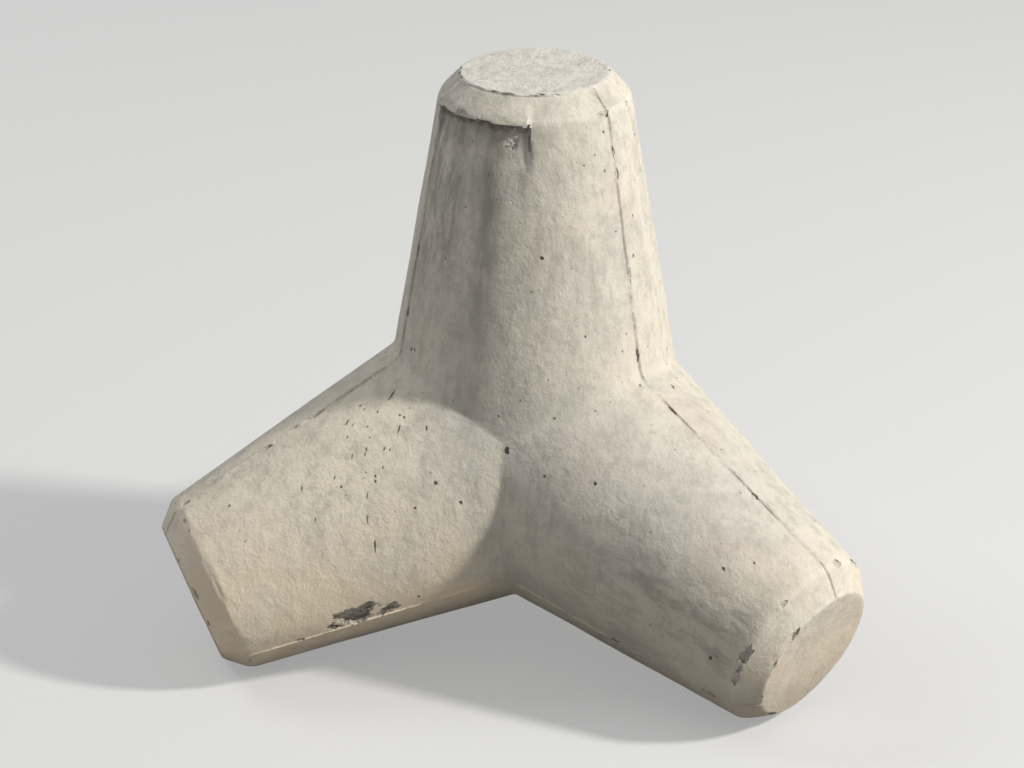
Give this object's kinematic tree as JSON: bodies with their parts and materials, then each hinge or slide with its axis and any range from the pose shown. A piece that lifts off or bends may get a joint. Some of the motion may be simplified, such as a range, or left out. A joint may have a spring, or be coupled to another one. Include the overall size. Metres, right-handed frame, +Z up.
{
  "type": "concrete tetrapod",
  "caption": "Wave-breaking armour block cast in plain concrete: tapered round legs with chamfered flat ends, set at tetrahedral angles so that units interlock.",
  "frame": {"origin": "the point where the four leg axes meet, which is the solid's centroid", "axes": "+Z up along the upper leg's axis; one lower leg's axis lies in the XZ plane over +X and the other two at 120 degrees to either side; the unit stands on a floor at z = -0.676 m"},
  "size_m": [2.0675, 2.296, 1.9151],
  "materials": {
    "concrete": "weathered cast concrete, matt, light warm grey"
  },
  "bodies": {
    "root": {"tetrapod": "concrete"}
  },
  "joints": []
}
